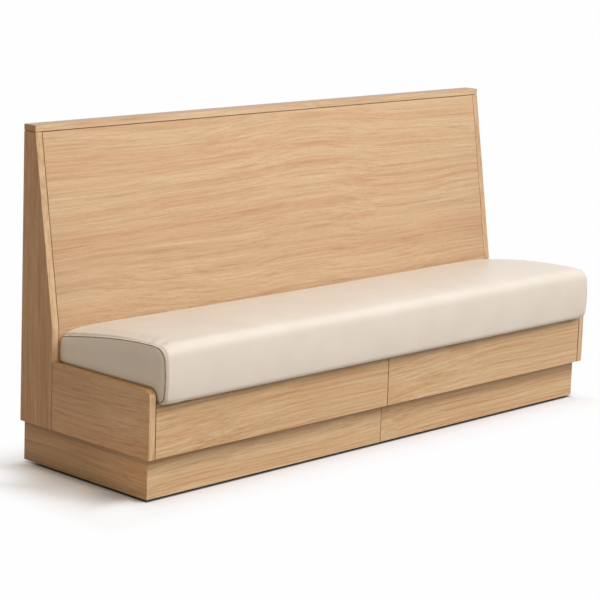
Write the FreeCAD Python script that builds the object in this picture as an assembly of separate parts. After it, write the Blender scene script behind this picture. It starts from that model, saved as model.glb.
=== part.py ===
import FreeCAD, Part
import math
import os

# Single-sided restaurant booth: an oak veneered seat box on a recessed plinth, a raked back
# under a flat cap, and one loose upholstered cushion between the end panels.
# Millimetres. X runs along the booth, the front faces -Y and Z is up from the floor.
# Depths are set-backs: distances forward from the rear face of the booth.

# Overall sizes
booth_length = 2100.0       # over the outer faces of the end panels
booth_height = 1070.0       # floor to the top of the cap
seat_depth = 600.0          # rear face to the front of the seat box
back_depth = 150.0          # rear face to the front of the back, at the seat
cap_depth = 55.0            # front to back of the cap

# Heights, from the floor up
floor_gap = 7.0             # shadow gap under the plinth
plinth_height = 128.0
fascia_height = 168.0       # seat box front, up to the deck
end_lip = 44.0              # seat end panels standing above the deck
upright_back = 148.0        # straight foot of the back, above the deck

# Boards
end_board = 25.0            # end panels
cap_board = 20.0
face_board = 18.0           # fascia and plinth
ply_board = 18.0            # ribs, deck and base board
back_board = 15.0           # raked panel and the panel behind the cushion
rear_board = 9.0            # panel that closes the back
arris = 1.2                 # eased edges of the veneered boards
corner_radius = 24.0        # top front corner of the seat end panels
reveal = 2.2                # dark line around the back panel and at the fascia's ends
butt_gap = 2.0              # joint in the middle of the fascia and of the plinth
groove_width = 1.8          # shadow line where the end panels meet each other and the cap
groove_depth = 5.0

# Plinth
plinth_front_recess = 25.0
plinth_end_recess = 18.0
plinth_rear_recess = 50.0   # room behind the rear rail for the floor brackets

# Frame inside
top_rail_height = 20.0
front_rail = 30.0           # square rail behind the fascia
joint_block = 40.0          # width of the blocks behind the fascia joint
rib_names = ("left_end", "left", "middle", "right", "right_end")
cross_rail_ribs = ("left", "right")     # the ribs that a cross rail stands under

# Levelling feet
leg_block = 50.0            # square block in the plinth that holds a foot
leg_block_height = 40.0
insert_radius = 7.0
insert_length = 22.0
insert_flange_radius = 10.0
insert_flange = 1.2
stud_radius = 4.0
stud_length = 38.0
stud_clearance = 0.05       # running clearance round the stud
stud_room = 1.0             # radial room above the insert
pad_radius = 18.0
pad_disc = 2.4
pad_hex = 11.0              # half the width across flats
pad_hex_height = 1.6
pad_floor = 1.2             # under the end of the stud

# Floor brackets
bracket_spread = 1200.0     # between the two floor bolts
bracket_width = 40.0
bracket_steel = 3.0
bracket_upright = 60.0
bracket_foot = 45.0
floor_bolt_radius = 4.5
floor_bolt_setback = 25.0
bracket_screw_shares = (0.42, 0.78)             # up the bracket's upright

# Wood screws
screw_radius = 2.0
screw_head_radius = 4.0
screw_head = 2.2
screw_tip = 4.0
screw_bite = 13.0           # into a thin board
edge_bite = 24.0            # into the edge of a board
rear_screw_bite = 12.0
deck_screw_shares = (0.12, 0.5, 0.84)
rear_screw_shares = (0.05, 0.35, 0.65, 0.95)
rib_screw_shares = (0.2, 0.8)
back_screw_shares = (0.15, 0.5, 0.85)
fascia_screw_shares = (0.14, 0.36, 0.64, 0.86)

# Cushion
nose_overhang = 44.0        # cushion nose in front of the seat box
cushion_end_gap = 3.0
cushion_rear_gap = 1.5
cushion_rest_gap = 0.3
cushion_rear_height = 154.0
cushion_front_height = 178.0
cushion_crown = 7.5         # rise of the top between its two edges
rear_radius = 25.0
front_radius = 46.0
nose_radius = 21.0
nose_bulge = 2.5
nose_drop = 1.8             # underside of the nose below the cushion's own underside
hide = 1.6                  # upholstery leather
end_cover = 4.0             # swell of the boxing panel at each end
end_cover_round = 14.0
cushion_ply = 12.0
cushion_ply_margin = 9.0
seam_draw = 12.0            # how far the end seam pulls the front in
seam_rear_drop = 20.0       # and the top down
seam_front_drop = 11.0
seam_nose_lift = 6.0
# Distance from the seam as a share of the half length, then the shares of the draw and of the drop left there
seam_shares = ((0.0, 1.0, 1.0), (0.0025, 0.48, 0.76), (0.006, 0.17, 0.55), (0.012, 0.04, 0.4), (0.025, 0.0, 0.28),
               (0.05, 0.0, 0.18), (0.1, 0.0, 0.07), (0.2, 0.0, 0.015))

# Levels and faces that follow
total_depth = seat_depth + nose_overhang
rear_face_y = total_depth / 2
half_length = booth_length / 2
inner_half = half_length - end_board
box_bottom = floor_gap + plinth_height
base_top = box_bottom + ply_board
deck_top = box_bottom + fascia_height
deck_bottom = deck_top - ply_board
kink_level = deck_top + upright_back
cap_bottom = booth_height - cap_board
rail_bottom = cap_bottom - top_rail_height
fascia_back = seat_depth - face_board
plinth_front = seat_depth - plinth_front_recess
plinth_half = half_length - plinth_end_recess
rake_slope = (back_depth - cap_depth) / (cap_bottom - kink_level)
back_run = back_board * math.hypot(1, rake_slope)       # raked panel measured level
rib_front = back_depth - back_run
diagonal_share = math.sqrt(0.5)


def y_at(setback):
    return rear_face_y - setback


def back_front(level):
    """Set-back of the raked front face at a level."""
    return back_depth - (level - kink_level) * rake_slope


def point(x, setback, z):
    return FreeCAD.Vector(x, y_at(setback), z)


def box(x_range, s_range, z_range):
    corner = point(x_range[0], s_range[1], z_range[0])
    sizes = [high - low for low, high in (x_range, s_range, z_range)]
    return Part.makeBox(*sizes, corner)


def side_profile(outline, x_range):
    """A board cut to an outline of set-backs and levels, as thick as its range in X."""
    corners = [point(x_range[0], setback, z) for setback, z in outline]
    face = Part.Face(Part.makePolygon(corners + corners[:1]))
    return face.extrude(FreeCAD.Vector(x_range[1] - x_range[0], 0, 0))


def plan_profile(outline, z_range):
    """A board cut to an outline of X and set-back, as tall as its range in Z."""
    corners = [point(x, setback, z_range[0]) for x, setback in outline]
    face = Part.Face(Part.makePolygon(corners + corners[:1]))
    return face.extrude(FreeCAD.Vector(0, 0, z_range[1] - z_range[0]))


def on_plane(shape, axis, value):
    """The edges that lie in the plane where the given axis has the given value."""
    found = []
    for edge in shape.Edges:
        limits = edge.BoundBox
        low = getattr(limits, axis + "Min")
        high = getattr(limits, axis + "Max")
        if abs(low - value) + abs(high - value) < arris / 2:
            found.append(edge)
    return found


def eased(board, axis, *values):
    """Take the sharpness off every edge that lies in the given planes."""
    for value in values:
        board = board.makeFillet(arris, on_plane(board, axis, value))
    return board


def mirrored(x_range, side):
    """A range of X, taken to the left for a side of -1."""
    ends = (x_range[0] * side, x_range[1] * side)
    return (min(ends), max(ends))


def rib_range(index):
    pitch = (2 * inner_half - ply_board) / (len(rib_names) - 1)
    left = -inner_half + index * pitch
    return (left, left + ply_board)


def middle(span):
    return (span[0] + span[1]) / 2


def along(span, share):
    return span[0] + (span[1] - span[0]) * share


def wood_screw(head_centre, direction, length):
    """A countersunk screw with its head flush at a point and its tip along a direction."""
    head = Part.makeCone(screw_head_radius, screw_radius, screw_head)
    shank = Part.makeCylinder(screw_radius, length - screw_tip)
    tip = Part.makeCone(screw_radius, 0, screw_tip, FreeCAD.Vector(0, 0, length - screw_tip))
    screw = head.fuse([shank, tip]).removeSplitter()
    turn = FreeCAD.Rotation(FreeCAD.Vector(0, 0, 1), direction)
    screw.Placement = FreeCAD.Placement(head_centre, turn)
    return screw


up = FreeCAD.Vector(0, 0, 1)
down = FreeCAD.Vector(0, 0, -1)
forward = FreeCAD.Vector(0, -1, 0)
outward = {-1: FreeCAD.Vector(-1, 0, 0), 1: FreeCAD.Vector(1, 0, 0)}
sides = {"left": -1, "right": 1}
nodes = {}


def drill(name, screws):
    """Cut the seats of a group of screws out of a node."""
    nodes[name] = nodes[name].cut(Part.makeCompound(screws))


# Plinth: mitred at its front corners, open at the back for the floor brackets
def plinth():
    levels = (floor_gap, box_bottom)
    inner = plinth_half - face_board
    back = plinth_front - face_board
    for name, side in sides.items():
        front_outline = [
            (side * butt_gap / 2, plinth_front),
            (side * (plinth_half - arris), plinth_front),
            (side * (plinth_half - arris / 2), plinth_front - arris / 2),
            (side * inner, back),
            (side * butt_gap / 2, back),
        ]
        end_outline = [
            (side * plinth_half, 0),
            (side * plinth_half, plinth_front - arris),
            (side * (plinth_half - arris / 2), plinth_front - arris / 2),
            (side * inner, back),
            (side * inner, 0),
        ]
        nodes["plinth_front_" + name] = plan_profile(front_outline, levels)
        nodes["plinth_end_" + name] = plan_profile(end_outline, levels)
    rear_rail = (plinth_rear_recess, plinth_rear_recess + face_board)
    nodes["plinth_rear_rail"] = box((-inner, inner), rear_rail, levels)
    for name in cross_rail_ribs:
        span = rib_range(rib_names.index(name))
        nodes["plinth_cross_rail_" + name] = box(span, (rear_rail[1], back), levels)


# Levelling feet: steel studs in threaded inserts, with moulded pads
def foot_places():
    outer = plinth_half - face_board - leg_block / 2
    front = plinth_front - face_board - leg_block / 2
    rear = plinth_rear_recess + face_board + leg_block / 2
    places = {}
    for row, setback in (("front", front), ("rear", rear)):
        for column, x in (("left", -outer), ("middle", 0), ("right", outer)):
            places[row + "_" + column] = (x, setback)
    return places


def upright_cylinder(radius, place, z_range):
    return Part.makeCylinder(radius, z_range[1] - z_range[0], point(*place, z_range[0]))


def foot_pad(place):
    disc = upright_cylinder(pad_radius, place, (0, pad_disc))
    corner_reach = 2 * pad_hex / math.sqrt(3)
    corners = []
    for step in range(6):
        turn = math.radians(60 * step)
        x = place[0] + corner_reach * math.cos(turn)
        corners.append((x, place[1] + corner_reach * math.sin(turn)))
    spanner_flats = plan_profile(corners, (pad_disc, pad_disc + pad_hex_height))
    stud_seat = upright_cylinder(stud_radius, place, (pad_floor, pad_floor + stud_length))
    return disc.fuse(spanner_flats).cut(stud_seat)


def leg_insert(place):
    flange = upright_cylinder(insert_flange_radius, place, (floor_gap, floor_gap + insert_flange))
    return flange.fuse(upright_cylinder(insert_radius, place, (floor_gap, floor_gap + insert_length)))


def feet():
    blocks = []
    inserts = []
    block_levels = (floor_gap, floor_gap + leg_block_height)
    for name, place in foot_places().items():
        stud_levels = (pad_floor, pad_floor + stud_length)
        nodes["foot_pad_" + name] = foot_pad(place)
        nodes["foot_stud_" + name] = upright_cylinder(stud_radius, place, stud_levels)
        sleeve = leg_insert(place)
        bore = upright_cylinder(stud_radius + stud_clearance, place, block_levels)
        room = upright_cylinder(stud_radius + stud_room, place, block_levels)
        half = leg_block / 2
        block = box((place[0] - half, place[0] + half), (place[1] - half, place[1] + half), block_levels)
        blocks.append(block.cut([sleeve, room]))
        inserts.append(sleeve.cut(bore))
    nodes["leveller_blocks"] = Part.makeCompound(blocks)
    nodes["leveller_inserts"] = Part.makeCompound(inserts)


# Floor brackets on the rear rail, each with one bolt hole at the floor
def floor_brackets():
    brackets = []
    screws = []
    leg_front = plinth_rear_recess
    leg_back = leg_front - bracket_steel
    outline = [
        (leg_front, 0),
        (leg_front, bracket_upright),
        (leg_back, bracket_upright),
        (leg_back, bracket_steel),
        (leg_front - bracket_foot, bracket_steel),
        (leg_front - bracket_foot, 0),
    ]
    for side in sides.values():
        x = side * bracket_spread / 2
        bracket = side_profile(outline, (x - bracket_width / 2, x + bracket_width / 2))
        bolt_hole = upright_cylinder(floor_bolt_radius, (x, floor_bolt_setback), (0, bracket_steel))
        own_screws = []
        for share in bracket_screw_shares:
            head = point(x, leg_back, along((0, bracket_upright), share))
            own_screws.append(wood_screw(head, forward, bracket_steel + screw_bite))
        brackets.append(bracket.cut([bolt_hole] + own_screws))
        screws.extend(own_screws)
    nodes["floor_brackets"] = Part.makeCompound(brackets)
    nodes["bracket_screws"] = Part.makeCompound(screws)
    drill("plinth_rear_rail", screws)


# End panels: the tall tapered one at the back and the low one beside the seat
def end_panels():
    tall_outline = [
        (0, box_bottom),
        (back_depth, box_bottom),
        (back_depth, kink_level),
        (cap_depth, cap_bottom),
        (0, cap_bottom),
    ]
    low_depths = (back_depth, seat_depth)
    low_levels = (box_bottom, deck_top + end_lip)
    cap_line = (cap_bottom - groove_width, cap_bottom)
    front_depths = (cap_depth - groove_depth, back_depth)
    joint_depths = (back_depth, back_depth + groove_width)
    for name, side in sides.items():
        span = mirrored((inner_half, half_length), side)
        skin = mirrored((half_length - groove_depth, half_length), side)
        tall = eased(side_profile(tall_outline, span), "X", *span)
        cap_grooves = [box(skin, (0, back_depth), cap_line), box(span, front_depths, cap_line)]
        nodes["back_end_panel_" + name] = tall.cut(cap_grooves)
        low = box(span, low_depths, low_levels)
        rounded = [edge for edge in on_plane(low, "Z", low_levels[1])
                   if edge.BoundBox.YMax < y_at(seat_depth) + arris]
        low = low.makeFillet(corner_radius, rounded)
        nodes["seat_end_panel_" + name] = eased(low, "X", *span).cut(box(skin, joint_depths, low_levels))


# Seat box: base board, ribs, front rail, deck and fascia
def seat_box():
    inside = (-inner_half, inner_half)
    rail_depths = (fascia_back - front_rail, fascia_back)
    rail_levels = (deck_bottom - front_rail, deck_bottom)
    nodes["base_board"] = box(inside, (rear_board, fascia_back), (box_bottom, base_top))
    nodes["seat_deck"] = box(inside, (rib_front, fascia_back), (deck_bottom, deck_top))
    nodes["front_rail"] = box(inside, rail_depths, rail_levels)
    rib_outline = [
        (rib_front, base_top),
        (rib_front, deck_bottom),
        (rail_depths[0], deck_bottom),
        (rail_depths[0], rail_levels[0]),
        (fascia_back, rail_levels[0]),
        (fascia_back, base_top),
    ]
    for index, name in enumerate(rib_names):
        nodes["seat_rib_" + name] = side_profile(rib_outline, rib_range(index))
    blocks = []
    for name, side in sides.items():
        span = mirrored((ply_board / 2, ply_board / 2 + joint_block), side)
        blocks.append(box(span, (fascia_back - face_board, fascia_back), (base_top, rail_levels[0])))
        fascia_span = mirrored((butt_gap / 2, inner_half - reveal), side)
        fascia = box(fascia_span, (fascia_back, seat_depth), (box_bottom, deck_top))
        nodes["seat_fascia_" + name] = eased(fascia, "Y", y_at(seat_depth))
    nodes["fascia_joint_blocks"] = Part.makeCompound(blocks)


# Back: tapered ribs, top rail, raked panel, the upright panel behind the cushion and the cap
def back():
    inside = (-inner_half, inner_half)
    rib_outline = [
        (rear_board, base_top),
        (rib_front, base_top),
        (rib_front, kink_level),
        (back_front(rail_bottom) - back_run, rail_bottom),
        (rear_board, rail_bottom),
    ]
    rail_outline = [
        (rear_board, rail_bottom),
        (back_front(rail_bottom) - back_run, rail_bottom),
        (back_front(cap_bottom) - back_run, cap_bottom),
        (rear_board, cap_bottom),
    ]
    panel_top = cap_bottom - reveal
    panel_outline = [
        (back_depth, kink_level),
        (back_front(panel_top), panel_top),
        (back_front(panel_top) - back_run, panel_top),
        (rib_front, kink_level),
    ]
    for index, name in enumerate(rib_names):
        nodes["back_rib_" + name] = side_profile(rib_outline, rib_range(index))
    nodes["back_top_rail"] = side_profile(rail_outline, inside)
    panel_span = (-inner_half + reveal, inner_half - reveal)
    nodes["back_panel"] = side_profile(panel_outline, panel_span)
    behind_cushion = (rib_front, rib_front + back_board)
    nodes["back_lower_panel"] = box(panel_span, behind_cushion, (deck_top, kink_level))
    nodes["rear_panel"] = box(inside, (0, rear_board), (box_bottom, cap_bottom))
    cap = box((-half_length, half_length), (0, cap_depth), (cap_bottom, booth_height))
    nodes["top_cap"] = cap.makeFillet(arris, cap.Edges)


# Screws, each group seated in the boards that it joins
def rib_face(level):
    """Set-back of the front edge of a back rib at a level."""
    return min(rib_front, back_front(level) - back_run)


def screws():
    ribs = [rib_range(index) for index in range(len(rib_names))]
    deck = []
    rear = []
    for span in ribs:
        x = middle(span)
        for share in deck_screw_shares:
            head = point(x, along((rib_front, fascia_back), share), deck_top)
            deck.append(wood_screw(head, down, ply_board + edge_bite))
        for share in rear_screw_shares:
            head = point(x, 0, along((base_top, rail_bottom), share))
            rear.append(wood_screw(head, forward, rear_board + rear_screw_bite))
    cap = []
    cap_setback = middle((rear_board, rib_face(cap_bottom)))
    for first, second in zip(ribs, ribs[1:]):
        head = point(middle((middle(first), middle(second))), cap_setback, rail_bottom)
        cap.append(wood_screw(head, up, top_rail_height + screw_bite))
    fascia = []
    ends = []
    for side in sides.values():
        for share in fascia_screw_shares:
            x = side * inner_half * share
            head = point(x, fascia_back - front_rail, deck_bottom - front_rail / 2)
            fascia.append(wood_screw(head, forward, front_rail + screw_bite))
        x = side * (inner_half - ply_board)
        places = []
        for share in back_screw_shares:
            level = along((base_top, rail_bottom), share)
            places.append((middle((rear_board, rib_face(level))), level))
        for share in rib_screw_shares:
            setback = along((rib_front, fascia_back), share)
            places.extend((setback, along((base_top, deck_bottom - front_rail), up_share))
                          for up_share in rib_screw_shares)
        for setback, level in places:
            head = point(x, setback, level)
            ends.append(wood_screw(head, outward[side], ply_board + screw_bite))
    nodes["deck_screws"] = Part.makeCompound(deck)
    nodes["rear_panel_screws"] = Part.makeCompound(rear)
    nodes["cap_screws"] = Part.makeCompound(cap)
    nodes["fascia_screws"] = Part.makeCompound(fascia)
    nodes["end_panel_screws"] = Part.makeCompound(ends)
    for name in rib_names:
        drill("seat_rib_" + name, deck)
        drill("back_rib_" + name, rear)
    for name in sides:
        drill("seat_rib_" + name + "_end", ends)
        drill("back_rib_" + name + "_end", ends)
        drill("seat_end_panel_" + name, ends)
        drill("back_end_panel_" + name, ends)
        drill("seat_fascia_" + name, fascia)
    drill("seat_deck", deck)
    drill("rear_panel", rear)
    drill("back_top_rail", cap)
    drill("top_cap", cap)
    drill("front_rail", fascia)


# Cushion: a crowned block whose seams pull it in at both ends
def arc(first, through, last):
    return Part.Arc(first, through, last).toShape()


def corner_point(centre, radius, s_way, z_way):
    """The middle of a quarter round about a centre of set-back and level."""
    step = radius * diagonal_share
    return (centre[0] + s_way * step, centre[1] + z_way * step)


def cushion_section(x, draw, drop, inset):
    """Closed outline of the cushion at one X: draw and drop are 1 at the end seam and 0 in the middle."""
    rear = back_depth + cushion_rear_gap + inset
    front = seat_depth + nose_overhang - seam_draw * draw - inset - nose_bulge
    bottom = deck_top + cushion_rest_gap + inset
    nose_bottom = bottom - nose_drop + seam_nose_lift * draw
    top_rear = deck_top + cushion_rear_height - seam_rear_drop * drop - inset
    top_front = deck_top + cushion_front_height - seam_front_drop * drop - inset
    r_rear = rear_radius - inset
    r_front = front_radius - inset
    r_nose = nose_radius - inset
    nose_start = (seat_depth + cushion_rest_gap + inset, bottom)
    nose_end = (front - r_nose, nose_bottom)
    face_low = (front, nose_bottom + r_nose)
    face_high = (front, top_front - r_front)
    crown_front = (front - r_front, top_front)
    crown_rear = (rear + r_rear, top_rear)
    rear_high = (rear, top_rear - r_rear)
    nose_round = corner_point((front - r_nose, nose_bottom + r_nose), r_nose, 1, -1)
    front_round = corner_point((front - r_front, top_front - r_front), r_front, 1, 1)
    rear_round = corner_point((rear + r_rear, top_rear - r_rear), r_rear, -1, 1)
    face_middle = (front + nose_bulge, middle((face_low[1], face_high[1])))
    crown_middle = (middle((crown_front[0], crown_rear[0])), middle((top_front, top_rear)) + cushion_crown)

    def at(place):
        return point(x, *place)

    return Part.Wire([
        Part.makeLine(at((rear, bottom)), at(nose_start)),
        Part.makeLine(at(nose_start), at(nose_end)),
        arc(at(nose_end), at(nose_round), at(face_low)),
        arc(at(face_low), at(face_middle), at(face_high)),
        arc(at(face_high), at(front_round), at(crown_front)),
        arc(at(crown_front), at(crown_middle), at(crown_rear)),
        arc(at(crown_rear), at(rear_round), at(rear_high)),
        Part.makeLine(at(rear_high), at((rear, bottom))),
    ])


def cushion_loft(half, inset):
    stations = [(-half + share * half, draw, drop) for share, draw, drop in seam_shares]
    stations = stations + [(0, 0, 0)] + [(-x, draw, drop) for x, draw, drop in reversed(stations)]
    sections = [cushion_section(x, draw, drop, inset) for x, draw, drop in stations]
    return Part.makeLoft(sections, True, False)


def leather_tube(half, outside, inside):
    """The main cover: both skins of the leather, closed by a flat ring at each end seam."""
    skin = [face for face in outside.Faces if face.BoundBox.XLength > hide]
    skin += [face.reversed() for face in inside.Faces if face.BoundBox.XLength > hide]
    for side in sides.values():
        rims = [cushion_section(side * half, 1, 1, inset) for inset in (0, hide)]
        ring = Part.makeFace(rims, "Part::FaceMakerBullseye")
        skin.append(ring if ring.normalAt(0, 0).x * side > 0 else ring.reversed())
    shell = Part.makeShell(skin)
    shell.sewShape()
    return Part.makeSolid(shell)


def cushion():
    half = inner_half - cushion_end_gap - end_cover
    outside = cushion_loft(half, 0)
    inside = cushion_loft(half, hide)
    ply_bottom = deck_top + cushion_rest_gap + hide
    ply_rear = back_depth + cushion_rear_gap + hide + cushion_ply_margin
    ply_half = half - cushion_ply_margin
    ply = box((-ply_half, ply_half), (ply_rear, fascia_back), (ply_bottom, ply_bottom + cushion_ply))
    nodes["cushion_board"] = ply
    nodes["cushion_foam"] = inside.cut(ply)
    nodes["cushion_cover"] = leather_tube(half, outside, inside)
    for name, side in sides.items():
        seam = cushion_section(side * half, 1, 1, 0)
        swell = cushion_section(side * (half + end_cover), 1, 1, end_cover_round)
        nodes["cushion_end_cover_" + name] = Part.makeLoft([seam, swell], True, True)


def export():
    os.makedirs("parts", exist_ok=True)
    for name, shape in nodes.items():
        shape.exportStep("parts/" + name + ".step")
        print(name, "solids", len(shape.Solids), "valid", shape.isValid(), "mm3", round(shape.Volume))
    print("nodes", len(nodes))


plinth()
feet()
floor_brackets()
end_panels()
seat_box()
back()
screws()
cushion()
export()
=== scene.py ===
# %% [markdown]
# # A restaurant booth, dressed around its CAD frame
#
# The booth is a seat box on a recessed plinth, with a raked back under a flat cap, all in
# lacquered oak veneer, and one loose leather cushion between its end panels. The CAD frame
# already holds every board, screw and foot at its true size, so this lesson adds what the
# frame can't show: the grain of each board, the padded cushion with its sewn ends, the
# screws with their recesses, and the studio around it.

import math

import bmesh
import bpy
import numpy as np
from mathutils import Matrix, Vector
from mathutils.noise import noise as slow_noise


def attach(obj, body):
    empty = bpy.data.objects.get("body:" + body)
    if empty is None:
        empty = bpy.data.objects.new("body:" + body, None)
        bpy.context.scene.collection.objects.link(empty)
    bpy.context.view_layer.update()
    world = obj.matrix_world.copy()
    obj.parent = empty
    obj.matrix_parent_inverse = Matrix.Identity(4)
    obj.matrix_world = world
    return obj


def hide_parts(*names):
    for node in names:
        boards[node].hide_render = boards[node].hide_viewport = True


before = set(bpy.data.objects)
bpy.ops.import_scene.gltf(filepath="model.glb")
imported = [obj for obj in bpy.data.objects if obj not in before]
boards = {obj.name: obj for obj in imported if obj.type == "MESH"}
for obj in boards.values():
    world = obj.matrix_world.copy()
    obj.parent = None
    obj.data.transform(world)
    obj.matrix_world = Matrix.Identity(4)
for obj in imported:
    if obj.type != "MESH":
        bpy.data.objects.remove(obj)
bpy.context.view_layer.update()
scene = bpy.context.scene
MM = 0.001
booth_back = 0.322          # the plane of the booth's back, in metres


def in_scene(name, data):
    """A new object in the scene that shows a mesh, a light or a camera."""
    made = bpy.data.objects.new(name, data)
    scene.collection.objects.link(made)
    return made


def evaluated(piece):
    """An object as its modifiers leave it."""
    return piece.evaluated_get(bpy.context.evaluated_depsgraph_get())


# %% [markdown]
# ## Camera
#
# The photograph was taken from the left, a little above the back, with a long lens. Its
# place was solved from the corners of the boards. Upright lines stay nearly parallel in the
# picture, so part of the downward view is lens shift. A camera looks along its own -Z, so
# its matrix has the picture's right, its up and the opposite of its line of sight as columns.

# %% Place the camera
camera_place = Vector((-5.2457, -4.9036, 1.9203))
camera_yaw = math.radians(46.069)
camera_pitch = math.radians(9.304)
camera_roll = math.radians(1.968)
sensor_width = 36.0
photo_width = 600
focal_pixels = 2188.7

sight = Vector((
    math.sin(camera_yaw) * math.cos(camera_pitch),
    math.cos(camera_yaw) * math.cos(camera_pitch),
    -math.sin(camera_pitch),
))
level_right = Vector((math.cos(camera_yaw), -math.sin(camera_yaw), 0))
level_up = level_right.cross(sight)
picture_right = math.cos(camera_roll) * level_right + math.sin(camera_roll) * level_up
picture_up = math.cos(camera_roll) * level_up - math.sin(camera_roll) * level_right
turn = Matrix((picture_right, picture_up, -sight)).transposed()

lens = bpy.data.cameras.new("Photo lens")
lens.sensor_width = sensor_width
lens.lens = focal_pixels * sensor_width / photo_width
lens.shift_y = -0.15
lens.clip_end = 300
camera = in_scene("Photo camera", lens)
camera.matrix_world = Matrix.Translation(camera_place) @ turn.to_4x4()
scene.camera = camera
print("lens:", round(lens.lens, 1), "mm")

# %% [markdown]
# ## Light
#
# The studio has one broad light high on the right of the camera and pale surfaces all
# round. A sun with a wide angle gives a shadow the same soft edge along the whole booth. A
# long, slightly cool soft box hangs over the front, for the top of the back and of the
# cushion. The world fills the shade with a warmer light, as the walls of a room do, and
# more of it comes from the front. A camera ray, or a reflection, sees it as plain white.

# %% Set up the lights
scene.view_settings.view_transform = "Standard"
towards_key = Vector((0.31, -0.7, 0.64))


def light_facing(name, kind, towards, place=(0, 0, 0)):
    """A light at a place that shines against a direction."""
    holder = in_scene(name, bpy.data.lights.new(name, kind))
    holder.matrix_world = Matrix.Translation(place) @ towards.to_track_quat("Z", "Y").to_matrix().to_4x4()
    return holder


key_light = light_facing("Key light", "SUN", towards_key).data
key_light.energy = 1.31
key_light.angle = math.radians(36)

soft_box = light_facing("Soft box", "AREA", Vector((0.0, -0.5, 0.87)), (0.2, -0.9, 2.2))
soft_box.visible_camera = False
box_light = soft_box.data
box_light.shape = "RECTANGLE"
box_light.size = 2.4
box_light.size_y = 0.8
box_light.energy = 8.0
box_light.color = (0.62, 0.85, 1.0)
print("lights:", key_light.energy, box_light.energy)

# %% [markdown]
# ## Node trees and the world
#
# Every material, and the world too, is a tree of nodes. A few small functions build them
# all: one adds a node with its inputs, and one lays coats of colour over each other, each
# with its share.

# %% Set up the world
def emptied(holder):
    """The node tree of a world or a material, cleared."""
    holder.use_nodes = True
    holder.node_tree.nodes.clear()
    return holder.node_tree


def linear(code):
    """An sRGB hex colour as linear values with an alpha."""
    values = [int(code[place:place + 2], 16) / 255 for place in (1, 3, 5)]
    return [v / 12.92 if v <= 0.04045 else ((v + 0.055) / 1.055) ** 2.4 for v in values] + [1]


def plug(tree, node, inputs):
    """Give a node's inputs, by name or number, a value, a socket or a node's first output."""
    for socket, given in inputs.items():
        if isinstance(given, bpy.types.Node):
            given = given.outputs[0]
        if isinstance(given, bpy.types.NodeSocket):
            tree.links.new(given, node.inputs[socket])
        else:
            node.inputs[socket].default_value = given


def add_node(tree, kind, inputs=None, **settings):
    """Add a node with its settings and its inputs."""
    made = tree.nodes.new(kind)
    for setting, value in settings.items():
        setattr(made, setting, value)
    plug(tree, made, inputs or {})
    return made


def coated(tree, colour, coats):
    """A colour under its coats. Each coat has a share, a colour and the way it blends."""
    for share, coat, blend in coats:
        layer = add_node(tree, "ShaderNodeMix", {0: share, 6: colour, 7: coat},
                         data_type="RGBA", blend_type=blend)
        colour = layer.outputs[2]
    return colour


def seen_directly(tree):
    """1 for a ray from the camera, from a reflection or through glass, and 0 for lighting."""
    path = add_node(tree, "ShaderNodeLightPath")
    camera_ray, glossy_ray, through_ray = [path.outputs["Is " + kind + " Ray"]
                                           for kind in ("Camera", "Glossy", "Transmission")]
    mirrored = add_node(tree, "ShaderNodeMath", {0: camera_ray, 1: glossy_ray}, operation="MAXIMUM")
    return add_node(tree, "ShaderNodeMath", {0: mirrored, 1: through_ray}, operation="MAXIMUM")


paper_white = 0.992
fill_light = (0.415, 0.355, 0.272)
front_share = 0.9
world = bpy.data.worlds.new("Pale studio")
scene.world = world
sky = emptied(world)
outlook = add_node(sky, "ShaderNodeTexCoord")
from_front = add_node(sky, "ShaderNodeVectorMath", {0: outlook.outputs["Generated"], 1: (0, -1, 0)},
                      operation="DOT_PRODUCT")
gain = add_node(sky, "ShaderNodeMapRange", {
    0: from_front.outputs["Value"], 1: -0.1, 2: 0.8, 3: 1.0, 4: 1 + front_share,
}, interpolation_type="SMOOTHSTEP")
fill = add_node(sky, "ShaderNodeVectorMath", {0: fill_light, 1: gain}, operation="MULTIPLY")
level = coated(sky, fill, [(seen_directly(sky), [paper_white] * 3 + [1], "MIX")])
light = add_node(sky, "ShaderNodeBackground", {"Color": level, "Strength": 1.0})
add_node(sky, "ShaderNodeOutputWorld", {"Surface": light})
print("world nodes:", len(sky.nodes))

# %% [markdown]
# ## Floor
#
# A white sweep of paper, wide enough to reach past the picture. For lighting it is a pale
# diffuse surface. Seen directly it is as white as the world, and its diffuse share takes
# the booth's shadow. That share is whole under the plinth, where the gap is dark, and
# fades with the distance from the booth, so the shadow stays close to its foot. The soft
# studio light gives too little shade there, so a deeper shade is painted on the paper in
# the gap, along the left end and, faintly, along the front. Only direct views show it.

# %% Lay the floor
floor_reach = 120.0
floor_drop = 0.2 * MM
plinth_end, plinth_back, plinth_front = 1.032, booth_back, -0.253
floor_bounce = (0.3, 0.28, 0.26, 1)
box_share = 0.147           # light from the soft box on the open floor
front_gain_share = 0.35     # part of the extra light from the front that falls on the floor
deepest_shade = "#2A1F1B"
floor_mesh = bpy.data.meshes.new("Studio floor")
corners = [(x * floor_reach, y * floor_reach, -floor_drop) for x, y in ((-1, -1), (1, -1), (1, 1), (-1, 1))]
floor_mesh.from_pydata(corners, [], [(0, 1, 2, 3)])
floor = in_scene("Studio floor", floor_mesh)
paper = bpy.data.materials.new("White paper sweep")
sheet = emptied(paper)
spot = add_node(sheet, "ShaderNodeTexCoord")
place = add_node(sheet, "ShaderNodeSeparateXYZ", {0: spot.outputs["Object"]})
middle_y = (plinth_back + plinth_front) / 2
half_sizes = (plinth_end, plinth_back - middle_y, 1)
centred = add_node(sheet, "ShaderNodeVectorMath", {0: spot.outputs["Object"], 1: (0, -middle_y, 0)},
                   operation="ADD")
folded = add_node(sheet, "ShaderNodeVectorMath", {0: centred}, operation="ABSOLUTE")
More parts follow.
